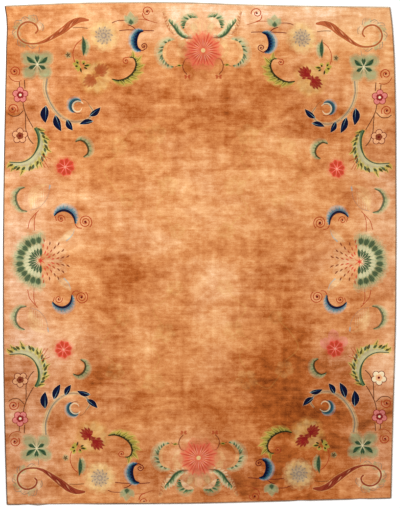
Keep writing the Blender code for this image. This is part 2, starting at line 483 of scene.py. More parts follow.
def blue_crescent(sketch):
    """A crescent leaf beside the end group: a navy inner edge, blue and teal outside, a coil below."""
    arc = smooth([(0.388, 1.598), (0.418, 1.586), (0.434, 1.552), (0.438, 1.515), (0.428, 1.482),
                  (0.402, 1.464)])
    crescent(sketch, arc, 1, (("pale blue", 0.25, 0.056), ("pale blue", 0.4, 0.048)),
             (("teal", 0.8, 0.036), ("deep teal", 0.8, 0.025), ("navy", 0.95, 0.014)), ("navy", 1.0, 0.012),
             ("blue", 0.55, 0.042, 0.012), 9)
    sketch.line([(0.412, 1.47), (0.398, 1.462), (0.376, 1.474)], "maroon")
    curl(sketch, (0.386, 1.494), 0.024, 240, 1.3, "maroon")


def olive_curl(sketch):
    """The leaf that coils into a C, its back feathered in olive."""
    arc = smooth([(0.61, 1.262), (0.56, 1.254), (0.51, 1.268), (0.468, 1.3), (0.446, 1.342),
                  (0.444, 1.382), (0.462, 1.412), (0.49, 1.416)])
    crescent(sketch, arc, 1, (("pale olive", 0.25, 0.06),),
             (("olive", 0.7, 0.036), ("leaf green", 0.5, 0.02)), ("dark olive", 0.95, 0.013))
    for index, length, wide in ((7, 0.052, 0.024), (11, 0.062, 0.026), (15, 0.068, 0.028), (19, 0.07, 0.028),
                                (23, 0.07, 0.028), (27, 0.066, 0.026), (31, 0.058, 0.024)):
        root, left, run = stood(arc, min(index, len(arc) - 3))
        tip = root + (left * 0.86 + run * 0.62) * length
        sketch.coats(petal(root - run * 0.006, tip, wide, 0.34),
                     ("pale olive", 0.55, 0.002), ("olive", 0.8, -0.004))
        sketch.vein([root, root * 0.25 + tip * 0.75], "dark olive", 0.0055, 0.85)
        sketch.vein([root + run * 0.012, root * 0.45 + tip * 0.55 + run * 0.014],
                    "dark olive", 0.0045, 0.7)
    sketch.stroke(arc, "dark olive", 0.0065)
    sketch.line([(0.492, 1.416), (0.516, 1.412)], "brick")
    curl(sketch, (0.514, 1.39), 0.024, 90, 1.3, "brick", "maroon")


def plum_blossom(sketch, middle, radius, fill, rim, heart, dot):
    """Five round petals with a thin rim, a dark heart and a light dot."""
    for coat, grow in ((rim, 0.0026), (fill, -0.0026)):
        for number in range(5):
            aim = 90 + number * 72
            round_petal = rosette(polar(middle, radius * 0.58, aim), radius * 0.4)
            sketch.lay(grown(round_petal, grow), coat, 0.92, carved=grow > 0)
    sketch.lay(rosette(middle, radius * 0.5), fill, 0.92)
    for number in range(10):
        aim = number * 36 + 18
        sketch.vein(spoke(middle, radius * 0.36, radius * 0.72, aim), heart, 0.0042, 0.6)
    sketch.lay(rosette(middle, radius * 0.47, 5, 0.22), heart, 0.95)
    sketch.lay(rosette(middle, radius * 0.17, steps=8), dot)


def blossom_strip(sketch, pale, heart):
    """The run of coils, stems and plum blossoms down the side."""
    sketch.line([(1.332, 1.284), (1.312, 1.252), (1.276, 1.238), (1.243, 1.244)], "rust")
    curl(sketch, (1.29, 1.31), 0.038, 225, 1.6, "brick", "maroon", 0.0068)
    sketch.line([(1.222, 1.25), (1.219, 1.19)], "brown")
    sketch.line([(1.257, 1.236), (1.256, 1.196)], "brown")
    sketch.line([(1.232, 1.096), (1.222, 1.05), (1.196, 0.99), (1.158, 0.92)], "brown")
    sketch.line([(1.212, 1.022), (1.209, 0.96), (1.208, 0.902), (1.186, 0.84), (1.156, 0.804)], "brown")
    sketch.line([(1.334, 1.018), (1.306, 1.0), (1.262, 1.004), (1.226, 1.04)], "brown")
    curl(sketch, (1.3, 1.048), 0.038, 210, 1.6, "brick", "maroon", 0.0068)
    plum_blossom(sketch, (1.252, 1.146), 0.056, "rose", "crimson", "crimson", "cream")
    plum_blossom(sketch, (1.25, 0.864), 0.056, pale, "maroon", heart, "maroon")


def acanthus(sketch):
    """The large curved leaf by the side: a pale body, dark strokes and a feathered outer edge."""
    spine = smooth([(1.15, 0.914), (1.128, 0.862), (1.126, 0.8), (1.146, 0.742), (1.186, 0.7),
                    (1.24, 0.68), (1.322, 0.684)])
    swell = swelling(1.0, 0.75, 0.04)
    sketch.coats(swollen(spine, swell, 0.078, -0.039),
                 ("pale olive", 0.3, 0.01), ("pale sage", 0.8), carved=True)
    for number in range(12):
        share = 0.06 + 0.92 * number / 11
        point, left, run = stood(spine, round(share * (len(spine) - 1)))
        length = 0.052 + 0.046 * math.sin(math.pi * share ** 0.8) + 0.014 * math.sin(number * 2.6)
        root = point - left * 0.03 * swell(share)
        tip = point - left * length + run * length * (0.5 + 0.16 * math.sin(number * 1.7))
        sketch.coats(petal(root, tip, 0.036, 0.4), ("pale olive", 0.5, 0.002), ("olive", 0.66, -0.006))
        sketch.vein([root * 0.5 + tip * 0.5, root * 0.1 + tip * 0.9], "dark olive", 0.008, 0.8)
    for number in range(15):
        share = 0.05 + 0.9 * number / 14
        point, left, run = stood(spine, round(share * (len(spine) - 1)))
        body = 0.078 * swell(share)
        root = point - left * body * 0.66 - run * 0.01
        tip = root - left * (0.024 + 0.008 * math.sin(number * 2.1)) + run * 0.032
        sketch.lay(petal(root, tip, 0.018, 0.45), "bottle green" if number % 2 else "dark olive", 0.88)
        if number % 3 == 0:
            mark = point - left * body * 0.35
            sketch.lay(petal(mark, mark - left * 0.02 + run * 0.016, 0.01, 0.5), "sage", 0.7)
    sketch.lay(swollen(spine, swell, 0.016, -0.034), "grey", 0.45)
    sketch.lay(ribbon(spine[: len(spine) // 2], lambda s: 0.022 * (1 - s) ** 0.5 + 0.004,
                      lambda s: -0.01 * (1 - s) ** 0.5), "leaf green", 0.9)
    sketch.lay(ribbon(spine, lambda s: 0.012 * (1 - 0.4 * s), -0.003), "bottle green", 0.85)
    for start, end in (((1.098, 0.73), (1.03, 0.7)), ((1.092, 0.712), (1.046, 0.64)),
                       ((1.106, 0.7), (1.07, 0.64)), ((1.076, 0.722), (1.058, 0.69))):
        sketch.line([start, end], "brick", 0.005, 0.85)


def navy_branch(sketch):
    """The grey-tan branch that swings round to a teal crescent, with five navy leaves outside."""
    branch = smooth([(1.07, 1.262), (1.076, 1.19), (1.062, 1.13), (1.036, 1.076), (0.995, 1.024),
                     (0.938, 0.982), (0.872, 0.962), (0.8, 0.97), (0.754, 1.0), (0.742, 1.04),
                     (0.766, 1.078)])
    sketch.lay(ribbon(branch, lambda s: 0.036 * (1 - s) ** 0.7 + 0.014), "pale gold", 0.35)
    sketch.coats(ribbon(branch, lambda s: 0.024 * (1 - s) ** 0.7 + 0.008), ("grey", 0.5), carved=True)
    half = branch[: len(branch) // 2]
    sketch.lay(ribbon(half, 0.006, lambda s: 0.007 * (1 - s)), "pale gold", 0.55)
    sketch.lay(ribbon(half, 0.0075, lambda s: -0.007 * (1 - s)), "slate", 0.75)
    sketch.lay(ribbon(branch[len(half):], 0.0045, 0.0), "brown", 0.6)
    for base, tip, wide in (
        ((1.072, 1.07), (1.07, 0.95), 0.058),
        ((1.004, 1.006), (0.958, 0.896), 0.05),
        ((0.922, 0.978), (0.878, 0.902), 0.04),
        ((0.738, 0.966), (0.834, 0.944), 0.035),
        ((0.764, 1.002), (0.686, 1.064), 0.038),
    ):
        base, tip = np.array(base), np.array(tip)
        leaf = petal(base, tip, wide, 0.44, bow=0.07, blunt=0.95, steps=6)
        sketch.coats(leaf, ("cream", 0.3, 0.005), ("navy", 1.0, 0.001), carved=True)
        sketch.vein([base, base * 0.45 + tip * 0.55], "pale blue", 0.0046, 0.75)
        sketch.vein([base * 0.5 + tip * 0.5, base * 0.15 + tip * 0.85], "blue", 0.006, 0.8)
    middle = (0.846, 1.066)
    arc = spiral(middle, 0.04, 0.04, 128, 0.53)[::-1]
    crescent(sketch, arc, 1, (("pale blue", 0.3, 0.042),),
             (("teal", 0.8, 0.028), ("deep teal", 0.9, 0.02)), ("navy", 0.9, 0.012))
    inner = spiral(middle, 0.03, 0.044, 150, 0.86)[::-1]
    sketch.lay(ribbon(inner, lambda s: 0.0055 + 0.006 * math.sin(math.pi * s)), "cream", 0.65)
    sketch.line([(0.876, 1.034), (0.852, 1.02), (0.822, 1.024)], "maroon", 0.0045, 0.8)
    sketch.line([(0.766, 1.078), (0.784, 1.106), (0.812, 1.12)], "brown", 0.0045, 0.6)


def olive_crescent(sketch):
    """The small dark olive crescent with a pale green back, inside the border."""
    arc = smooth([(0.86, 0.82), (0.822, 0.832), (0.786, 0.812), (0.768, 0.774), (0.776, 0.74),
                  (0.806, 0.718)])
    crescent(sketch, arc, -1, (("pale sage", 0.25, 0.046), ("sage", 0.35, 0.034)),
             (("sage", 0.5, 0.022),), ("dark olive", 0.88, 0.011), ("leaf green", 0.55, 0.03, 0.01), 8)


def red_flower(sketch, haze):
    """A round red flower; where haze is above 0, a rosy haze spreads from it, covering that much."""
    middle = (0.93, 0.645)
    if haze:
        for aim, reach in ((262, 0.15), (318, 0.12), (210, 0.13)):
            sketch.lay(petal(middle, polar(middle, reach, aim), 0.085, 0.66, blunt=0.6), "rose", haze)
    hazed(sketch, middle, 0.088, "red", 0.26, 7)
    for number in range(8):
        aim = number * 45 + 12
        bloom = spear(middle, 0.006, 0.066, aim, 0.04, 0.6, blunt=0.65)
        sketch.coats(bloom, ("red", 0.45, 0.003), ("red", 0.92, -0.003), carved=number % 2 == 0)
        sketch.lay(spear(middle, 0.016, 0.06, aim, 0.018, 0.6), "brick", 0.7)
    for number in range(8):
        aim = number * 45 + 34
        sketch.vein([middle, polar(middle, 0.052, aim)], "pink", 0.0045, 0.6)


def side_crescents(sketch):
    """The green crescent, the pale plume and the blue crescent beside the half flower of the side."""
    arc = smooth([(1.214, 0.502), (1.25, 0.486), (1.276, 0.446), (1.274, 0.396), (1.246, 0.35),
                  (1.202, 0.338)])
    crescent(sketch, arc, 1, (("pale sage", 0.28, 0.042), ("sage", 0.3, 0.03)),
             (("sage", 0.45, 0.02),), ("bottle green", 0.75, 0.012), ("leaf green", 0.45, 0.022, 0.012), 9)
    for tip, wide, bow in (((1.042, 0.53), 0.05, -0.26), ((1.058, 0.484), 0.034, -0.2),
                           ((1.084, 0.456), 0.028, -0.14)):
        sketch.lay(petal((1.18, 0.346), tip, wide, bow=bow, steps=7), "pale gold", 0.22)
    for number in range(6):
        share = number / 5
        start = (1.16 - 0.07 * share, 0.356 + 0.04 * share)
        sketch.vein([start, (start[0] + 0.005 - 0.012 * share, start[1] + 0.07 + 0.03 * share)],
                    "cream", 0.006, 0.35)
    sketch.line([(1.18, 0.346), (1.12, 0.364), (1.076, 0.404), (1.05, 0.456), (1.042, 0.528)], "mauve",
                0.0055, 0.45)
    sketch.line([(1.046, 0.49), (1.04, 0.52)], "pale blue", 0.012, 0.5)
    sketch.line([(1.122, 0.344), (1.16, 0.306), (1.186, 0.272), (1.198, 0.216)], "brick", 0.005)
    sketch.line([(1.14, 0.322), (1.154, 0.28), (1.153, 0.2)], "brick", 0.005)
    arc = smooth([(1.014, 0.302), (0.982, 0.332), (0.938, 0.344), (0.896, 0.328), (0.872, 0.294),
                  (0.866, 0.252)])
    crescent(sketch, arc, -1, (("pale blue", 0.22, 0.05), ("pale blue", 0.32, 0.04)),
             (("teal", 0.45, 0.028), ("blue", 0.6, 0.018)), ("navy", 0.97, 0.014),
             ("teal", 0.65, 0.042, 0.009), 12)
    sketch.line([(1.006, 0.3), (0.998, 0.27)], "brick")
    curl(sketch, (0.966, 0.284), 0.03, 195, 1.45, "brick", "maroon")
    sketch.line([(0.866, 0.25), (0.85, 0.226), (0.82, 0.222)], "brick")
    curl(sketch, (0.794, 0.266), 0.048, 232, 2.1, "brick", "maroon")
    sketch.coats(petal((0.99, 0.13), (0.874, 0.226), 0.056, bow=0.1), ("pale gold", 0.16, 0.006),
                 ("cream", 0.2, -0.004))
    sketch.vein([(0.93, 0.132), (0.892, 0.17), (0.872, 0.216)], "pale blue", 0.01, 0.55)


def half_chrysanthemum(sketch, ways):
    """Half of the green flower on the long side; ways turns it over across the middle line."""
    middle = (1.11, -0.004)

    def aims(count, span):
        return [ways * span * (number + 0.5) / count for number in range(count)]

    for inner, outer, wide, wool, cover in (
        (0.06, 0.222, 0.084, "pale sage", 0.22), (0.06, 0.2, 0.074, "sage", 0.34),
    ):
        for aim in aims(8, 96):
            sketch.lay(spear(middle, inner, outer, aim, wide, 0.72, blunt=0.5), wool, cover)
    for number, aim in enumerate(aims(6, 93)):
        outer = 0.172 + 0.008 * math.sin(number * 2.4)
        blob = spear(middle, 0.112, outer, aim, 0.039, 0.62, blunt=0.6)
        sketch.coats(blob, ("leaf green", 0.5, 0.004), ("bottle green", 0.72, -0.003), carved=True)
        for turn in (-5, 0, 5):
            sketch.vein(spoke(middle, 0.126, 0.188, aim + turn), "bottle green", 0.006, 0.5)
    for aim in aims(7, 90):
        sketch.coats(spear(middle, 0.04, 0.122, aim, 0.04, 0.7, blunt=0.5),
                     ("pale sage", 0.7), ("cream", 0.28, -0.005))
    for aim in aims(7, 98):
        sketch.vein(spoke(middle, 0.06, 0.116, aim), "sage", 0.005, 0.7)
    for aim in aims(6, 100):
        sketch.coats(spear(middle, 0.022, 0.088, aim, 0.017, 0.62, blunt=0.8),
                     ("leaf green", 0.7, 0.003), ("bottle green", 0.9, -0.001))
    for aim in aims(5, 86):
        sketch.vein(spoke(middle, 0.018, 0.076, aim), "cream", 0.0045, 0.8)
    for aim in (150, 90, 34):
        sketch.vein([middle, polar(middle, 0.036, ways * aim)], "red", 0.007, 0.95)
    sketch.lay(rosette(middle, 0.01, steps=8), "red")
    sketch.lay(petal(polar(middle, 0.02, 180), polar(middle, 0.2, 180 - ways * 22), 0.11, 0.6, blunt=0.6),
               "cream", 0.13)
    for aim, start, bow in ((8, 0.07, 0.05), (24, 0.05, 0.08), (42, 0.05, 0.08), (60, 0.05, 0.06),
                            (78, 0.092, 0.04)):
        turn = 180 - ways * aim
        for number, wool in enumerate(("red", "brick", "dark rust", "dark rust")):
            inner = start + number * 0.036
            if inner < 0.185 - 0.0006 * aim:
                sketch.lay(petal(polar(middle, inner, turn), polar(middle, inner + 0.03, turn - ways * 4),
                                 0.0105, bow=bow * ways), wool, 0.88)


def end_group(sketch):
    """Half of the large group at the end: coral flower, fan, feathered leaves and crescents."""
    middle = (0.0, 1.45)
    for aim, reach in ((82, 0.232), (56, 0.226), (30, 0.2), (4, 0.19)):
        sketch.lay(spear(middle, 0.05, reach, aim, 0.12, 0.6, blunt=0.6), "pale gold", 0.2)
    for number, (aim, reach) in enumerate(((86, 0.222), (70, 0.218), (54, 0.206))):
        sketch.coats(spear(middle, 0.09, reach, aim, 0.046, 0.62, blunt=0.6),
                     ("grey" if number % 2 else "rose", 0.22, 0.0), ("pale gold", 0.25, -0.008))
    # the feathered arcs over the fan
    arch = smooth([(0.03, 1.676), (0.074, 1.678), (0.108, 1.656), (0.128, 1.606)])
    swell = swelling(1.0, 0.6, 0.1)
    for reach, wool, cover in ((0.052, "pale sage", 0.26), (0.036, "sage", 0.36)):
        sketch.lay(swollen(arch, swell, reach, 0.5 * reach), wool, cover)
    sketch.lay(swollen(arch, swell, 0.03, -0.016), "cream", 0.34)
    fringe(sketch, arch, 8, 0.046, 0.013, 0.6, ("sage", 0.7), ends=0.3)
    fringe(sketch, arch[1:], 8, 0.036, 0.013, 0.8, ("leaf green", 0.8), ends=0.3)
    fringe(sketch, arch[2:], 6, 0.024, 0.011, 0.95, ("bottle green", 0.7), ends=0.3)
    # the long leaf and the rust tendril beside it
    leaf = smooth([(0.064, 1.538), (0.12, 1.542), (0.166, 1.57), (0.198, 1.616), (0.236, 1.66)])
    fringe(sketch, leaf, 10, 0.048, 0.02, 0.75, ("cream", 0.35, 0.003), ("pale sage", 0.45))
    fringe(sketch, leaf[3:], 9, 0.04, 0.016, 0.75, ("cream", 0.45), side=-1)
    fringe(sketch, leaf, 8, 0.032, 0.015, 1.1, ("sage", 0.75), ends=0.5)
    fringe(sketch, leaf[2:], 8, 0.024, 0.013, 1.3, ("leaf green", 0.8), ends=0.4)
    blade = lambda s: 0.017 * math.sin(math.pi * min(1.0, s ** 1.1)) ** 0.7 + 0.003
    sketch.lay(ribbon(leaf, blade), "leaf green", 0.8, carved=True)
    sketch.lay(ribbon(leaf, lambda s: 0.55 * blade(s)), "bottle green", 0.8)
    tendril = smooth([(0.2, 1.56), (0.232, 1.59), (0.256, 1.64), (0.264, 1.684), (0.276, 1.72)])
    fringe(sketch, tendril, 9, 0.03, 0.013, 0.9, ("pale gold", 0.4, 0.003), ("rust", 0.42))
    fringe(sketch, tendril, 6, 0.024, 0.01, 0.9, ("rust", 0.62), ends=0.3)
    sketch.stroke(tendril, "rust", 0.0055, 0.5)
    # the scalloped side crescent
    side = smooth([(0.196, 1.53), (0.25, 1.508), (0.276, 1.462), (0.276, 1.408), (0.244, 1.362),
                   (0.204, 1.344)])
    for reach, wool, cover in ((0.056, "pale sage", 0.24), (0.042, "pale sage", 0.3), (0.028, "sage", 0.4)):
        sketch.lay(swollen(side, swell, reach, 0.5 * reach), wool, cover)
    sketch.lay(swollen(side, swell, 0.022, -0.012), "pale gold", 0.28)
    for row, (count, reach, wide, lean, wool) in enumerate((
        (9, 0.04, 0.013, 0.45, "pale sage"), (8, 0.032, 0.012, 0.7, "leaf green"),
        (9, 0.022, 0.012, 0.9, "bottle green"),
    )):
        fringe(sketch, side[row:], count, reach, wide, lean, (wool, 0.75), ends=0.3)
    # branches below
    sketch.line([(0.088, 1.396), (0.12, 1.392), (0.14, 1.35), (0.134, 1.312), (0.112, 1.284)], "dark rust",
                0.0075, 0.85)
    for aim in (20, 160, 215, 325):
        sketch.lay(petal((0.11, 1.27), polar((0.11, 1.27), 0.026, aim), 0.016, 0.6), "brick", 0.75)
    sketch.line([(0.136, 1.35), (0.152, 1.352), (0.196, 1.34)], "brown", 0.0045, 0.8)
    sketch.coats(petal((0.146, 1.348), (0.184, 1.352), 0.02), ("olive", 0.8), ("dark olive", 0.9, -0.005))
    # the flower itself, half of it on this side
    for turn, reach, cover in ((0, 0.158, 0.18), (9, 0.146, 0.24), (18, 0.124, 0.4)):
        for number in range(5):
            aim = 90 - (number + 0.5) * 36 + turn
            sketch.lay(petal(middle, polar(middle, reach, aim), 0.094, 0.66, blunt=0.5), "coral", cover)
    for number in range(13):
        aim = 90 - (number + 0.5) * 180 / 13
        reach = (0.104, 0.138, 0.118)[number % 3]
        ray = spear(middle, 0.022, reach, aim, 0.018, 0.68, blunt=0.8)
        sketch.coats(ray, ("coral", 0.72), ("red", 0.5, -0.004), carved=number % 2 == 0)
        sketch.lay(spear(middle, 0.024, 0.08, aim + 7, 0.0055), "peach" if number % 2 else "pink", 0.55)
        sketch.lay(spear(middle, 0.036, reach * 0.86, aim, 0.0075), "brick", 0.3 + 0.35 * (number % 2))
    sketch.lay(rosette(middle, 0.016, 8, 0.2), "pale gold", 0.85)


def ghost_vines(sketch):
    """Flowers and tendrils worn almost to the ground colour, here and there in the plain field."""
    for middle, radius in (((0.3, 0.88), 0.08), ((0.56, 0.8), 0.07), ((0.22, 0.52), 0.075),
                           ((0.16, 0.2), 0.06), ((0.5, 0.42), 0.055)):
        for number in range(5):
            aim = number * 72 + 20
            leaf = spear(middle, 0.01, radius, aim, radius * 0.8, 0.6, blunt=0.7)
            sketch.coats(leaf, ("gold", 0.11, 0.003), ("pale gold", 0.07, -0.004))
    for path in (((0.3, 0.8), (0.26, 0.7), (0.32, 0.6), (0.24, 0.52)),
                 ((0.56, 0.74), (0.66, 0.64), (0.6, 0.52), (0.52, 0.44)),
                 ((0.24, 0.46), (0.3, 0.36), (0.22, 0.28), (0.17, 0.2)),
                 ((0.36, 0.9), (0.44, 0.94), (0.5, 0.88), (0.54, 0.82))):
        sketch.line(path, "gold", 0.0085, 0.22)


# ---- the four quarters

class Quarter(NamedTuple):
    """How a drawing is turned over and stretched, and moved, when it is laid in one part of the rug."""
    across: float
    along: float
    shift_x: float = 0.0
    shift_y: float = 0.0
    spread: float = 0.0       # how far the figures half way out are moved outwards


QUARTERS = (
    Quarter(-1.000, 1.000, spread=0.004),
    Quarter(1.000, 0.989, spread=0.048),
    Quarter(-1.000, -0.966, spread=0.031),
    Quarter(0.997, -0.949, spread=0.031),
)
SPREAD_END = 1.15             # beyond this far out, figures keep their places


class Wools(NamedTuple):
    """The wools that differ from one quarter to the next."""
    crest: str
    scroll: str
    shade: str
    blossom: str = "peach"
    heart: str = "dark rust"
    haze: float = 0.0         # how strongly a rosy haze spreads from the red flower


QUARTER_WOOLS = (
    Wools("rust", "rust", "dark rust"),
    Wools("crimson", "rust", "dark rust"),
    Wools("crimson", "brick red", "maroon"),
    Wools("crimson", "brick red", "maroon", "cream", "peach", 0.42),
)
END_GROUPS = (
    Quarter(-1.0, 1.0, 0.020, 0.006), Quarter(1.0, 1.0, 0.020, 0.006),
    Quarter(-1.0, -0.960, -0.006, 0.016), Quarter(1.0, -0.960, -0.006, 0.016),
)
SIDE_GROUPS = (Quarter(-1.0, 1.0, 0.0, -0.004), Quarter(1.0, 1.0, -0.003, -0.004))


def drifted(outline):
    """The small wander of a hand-tied drawing, the same wherever two outlines meet."""
    x, y = outline[:, 0], outline[:, 1]
    return np.column_stack([
        x + 0.0032 * np.sin(5.3 * y + 1.1) + 0.0016 * np.sin(23.0 * y + 9.0 * x),
        y + 0.0034 * np.sin(4.7 * x + 0.6) + 0.0016 * np.sin(21.0 * x - 8.0 * y),
    ])


def laid_out():
    """All the coats of wool in their places on the rug."""
    end = Sketch()
    end_group(end)
    placed = []

    def place(patches, where):
        for patch in patches:
            out = np.clip(patch.outline[:, 0] / SPREAD_END, 0.0, 1.0)
            spread = where.spread * np.sin(np.pi * out)
            moved = (patch.outline + spread[:, None] * (1, 0)) * (where.across, where.along)
            moved = moved + (where.shift_x, where.shift_y + DESIGN_MIDDLE_Y)
            placed.append(patch._replace(outline=drifted(moved)))

    for where, wools in zip(QUARTERS, QUARTER_WOOLS):
        quarter = Sketch()
        crimson_flower(quarter, wools.crest)
        corner_scroll(quarter, wools.scroll, wools.shade)
        blossom_strip(quarter, wools.blossom, wools.heart)
        red_flower(quarter, wools.haze)
        for draw in (ghost_vines, clover, navy_branch, mauve_flower, red_spray, end_stems,
                     olive_curl, blue_crescent, acanthus, olive_crescent, side_crescents):
            draw(quarter)
        place(quarter.patches, where)
    for where in END_GROUPS:
        place(end.patches, where)
    for where in SIDE_GROUPS:
        for ways in (1, -1):
            side = Sketch()
            half_chrysanthemum(side, ways)
            place(side.patches, where)
    return placed


# ---- the ground's tones

class Tone(NamedTuple):
    """A broad patch of lighter or darker, or rosier, ground: its middle, its reach and its amount."""
    x: float
    y: float
    reach_x: float
    reach_y: float
    amount: float


LIGHTER = (
    Tone(0.60, 1.70, 0.75, 0.20, 0.62),
    Tone(-0.55, 1.70, 0.70, 0.14, 0.38),
    Tone(1.15, 1.45, 0.30, 0.30, 0.35),
    Tone(-1.30, 0.05, 0.28, 0.55, 0.34),
    Tone(1.34, 0.25, 0.16, 0.32, 0.30),
    Tone(1.34, -0.75, 0.13, 0.25, 0.40),
    Tone(-1.28, -0.90, 0.22, 0.60, -0.25),
    Tone(-0.05, 0.35, 0.80, 0.28, 0.30),
    Tone(0.12, -0.42, 0.28, 0.32, 0.26),
    Tone(-1.05, -0.70, 0.20, 0.35, 0.15),
    Tone(0.52, -0.10, 0.13, 0.22, -0.50),
    Tone(0.62, -0.58, 0.28, 0.32, -0.50),
    Tone(0.72, -0.98, 0.48, 0.30, -0.60),
    Tone(0.80, -1.42, 0.60, 0.34, -0.60),
    Tone(-0.72, -0.92, 0.24, 0.26, -0.35),
    Tone(-0.62, 0.82, 0.34, 0.15, -0.15),
    Tone(1.36, -1.02, 0.10, 0.12, -0.70),
    Tone(-1.34, 0.92, 0.10, 0.12, -0.50),
    Tone(0.65, 1.08, 0.30, 0.16, -0.28),
    Tone(-1.00, 1.30, 0.45, 0.25, -0.18),
    Tone(0.00, -1.58, 0.70, 0.20, -0.32),
    Tone(0.00, 0.98, 0.65, 0.22, -0.34),
    Tone(-0.56, 0.05, 0.18, 0.70, -0.26),
    Tone(0.00, -1.02, 0.55, 0.20, -0.24),
)
ROSIER = (
    Tone(-1.22, -1.20, 0.30, 0.55, 0.75),
    Tone(-1.26, -0.55, 0.18, 0.45, 0.35),
    Tone(1.24, -1.20, 0.26, 0.45, 0.80),
    Tone(0.95, -0.74, 0.16, 0.14, 0.70),
    Tone(-1.22, 1.05, 0.18, 0.22, 0.30),
    Tone(0.00, -1.50, 0.55, 0.22, 0.40),
    Tone(-0.95, -0.70, 0.30, 0.20, 0.25),
    Tone(-1.26, 0.30, 0.24, 0.80, 0.40),
    Tone(1.30, 0.30, 0.22, 0.70, 0.38),
    Tone(0.20, 1.66, 1.00, 0.16, 0.34),
    Tone(0.00, 0.00, 1.60, 1.60, 0.06),
)


def toned(tones, x, y):
    """The sum of the broad tones at each place."""
    total = np.zeros(len(x))
    for tone in tones:
        away = ((x - tone.x) / tone.reach_x) ** 2 + ((y - tone.y) / tone.reach_y) ** 2
        total += tone.amount * np.exp(-away)
    return total


# ---- reading the frame

def pile_outline():
    """The pile's outline from the frame, anticlockwise, with a point at every step along the edge."""
    spots = [vert.co for vert in bpy.data.objects["rug_body"].data.vertices]
    corners = np.array(sorted({(round(p.x, 5), round(p.y, 5)) for p in spots if p.z < FLAT}))
    corners = corners[np.argsort(np.arctan2(corners[:, 1] / RUG_LENGTH, corners[:, 0] / RUG_WIDTH))]
    stepped = []
    for start, end in zip(corners, np.roll(corners, -1, axis=0)):
        count = max(1, round(np.linalg.norm(end - start) / EDGE_STEP))
        for number in range(count):
            stepped.append(start + (end - start) * number / count)
    waver = [0.5 + 0.5 * noise.noise((p[0] * 37.0, p[1] * 37.0, 4.0)) for p in stepped]
    return grown(np.array(stepped), -EDGE_WAVER * np.array(waver))


def kept_in(outline, border):
    """A figure's outline with any point that would leave the pile brought back inside it."""
    x, y = outline[:, 0], outline[:, 1]
    limits = []
    for run, across in ((1, 0), (0, 1)):
        for sign in (-1, 1):
            chain = border[sign * border[:, across] > EDGE_CHAIN * np.abs(border[:, across]).max()]
            chain = chain[np.argsort(chain[:, run])]
            limits.append(np.interp(outline[:, run], chain[:, run], chain[:, across]) - sign * EDGE_CLEAR)
    left, right, foot, head = limits
    return np.column_stack([np.clip(x, left, right), np.clip(y, foot, head)])


# ---- the pile's mesh

class Coat(NamedTuple):
    """The finished triangles of one face of the rug: points, triangles and each triangle's wool."""
    points: np.ndarray
    triangles: np.ndarray
    wool: np.ndarray


def in_scene(name, data):
    """A new object of that name in the scene."""
    piece = bpy.data.objects.new(name, data)
    bpy.context.collection.objects.link(piece)
    return piece


def finished(shape, name):
    """The modelled shape as an object in the scene."""
    mesh = bpy.data.meshes.new(name)
    shape.to_mesh(mesh)
    shape.free()
    return in_scene(name, mesh)


def tree_of(points):
    tree = kdtree.KDTree(len(points))
    for index, point in enumerate(points):
        tree.insert((point[0], point[1], 0.0), index)
    tree.balance()
    return tree


def gap_to(tree, point):
    return tree.find((point[0], point[1], 0.0))[2]


def field_points(border, drawn, step):
    """Scattered points that fill the ground between the outlines."""
    low, high = border.min(axis=0), border.max(axis=0)
    tree = tree_of(np.vstack([drawn, border]))
    points = []
    for column in np.arange(low[0] + step / 2, high[0], step):
        for row in np.arange(low[1] + step / 2, high[1], step):
            nudge = [noise.noise((column * 31.0, row * 31.0, layer)) for layer in (0.5, 7.5)]
            point = (column + nudge[0] * step * NUDGE, row + nudge[1] * step * NUDGE)
            if gap_to(tree, point) > FIELD_CLEAR:
                points.append(point)
    points = np.array(points)
    return points[covered(border, points)]


def covered(outline, places):
    """Which of the places an outline goes round, even where it crosses itself."""
    x, y = places[:, 0, None], places[:, 1, None]
    start, run = outline, np.roll(outline, -1, axis=0) - outline
    below, above = start[:, 1] <= y, start[:, 1] + run[:, 1] > y
    side = run[:, 0] * (y - start[:, 1]) - (x - start[:, 0]) * run[:, 1]
    rising = (below & above & (side > 0)).sum(axis=1)
    falling = (~below & ~above & (side < 0)).sum(axis=1)
    return rising != falling


def triangulated(border, patches, loose):
    """One conforming set of triangles for all the outlines, each coloured by the coats over it."""
    points, edges = [], []
    border = border.astype(np.float32).astype(float)
    for outline in [border] + [patch.outline for patch in patches]:
        start, count = len(points), len(outline)
        points += [Vector(p) for p in outline]
        edges += [(start + n, start + (n + 1) % count) for n in range(count)]
    points += [Vector(p) for p in loose]
    found, _, triangles, _, _, _ = delaunay_2d_cdt(points, edges, [], 0, 1e-5, False)
    found, triangles = np.array([tuple(p) for p in found]), np.array(triangles)
    middles = found[triangles].mean(axis=1)
    inner = (np.abs(middles) < np.abs(border).max(axis=0) * SURELY_INSIDE).all(axis=1)
    inner[~inner] = covered(border, middles[~inner])
    triangles, middles = triangles[inner], middles[inner]
    order = np.argsort(middles[:, 1])
    triangles, middles = triangles[order], middles[order]
    wool = np.zeros((len(triangles), 4))
    for patch in patches:
        low, high = patch.outline.min(axis=0), patch.outline.max(axis=0)
        first, last = np.searchsorted(middles[:, 1], (low[1], high[1]))
        near = np.arange(first, last)
        near = near[(middles[near, 0] > low[0]) & (middles[near, 0] < high[0])]
        held = near[covered(patch.outline, middles[near])]
        wool[held] = wool[held] * (1 - patch.cover) + np.array([*DYES[patch.wool], 1.0]) * patch.cover
    wool[:, :3] /= np.maximum(wool[:, 3:], 1e-6)
    return Coat(found, triangles, wool)


def beside(patches):
    """Points just outside and inside each carved outline, where the cut has run out."""
    return np.vstack([grown(patch.outline, reach) for patch in patches if patch.carved
                      for reach in (CARVE_REACH, -CARVE_REACH)])


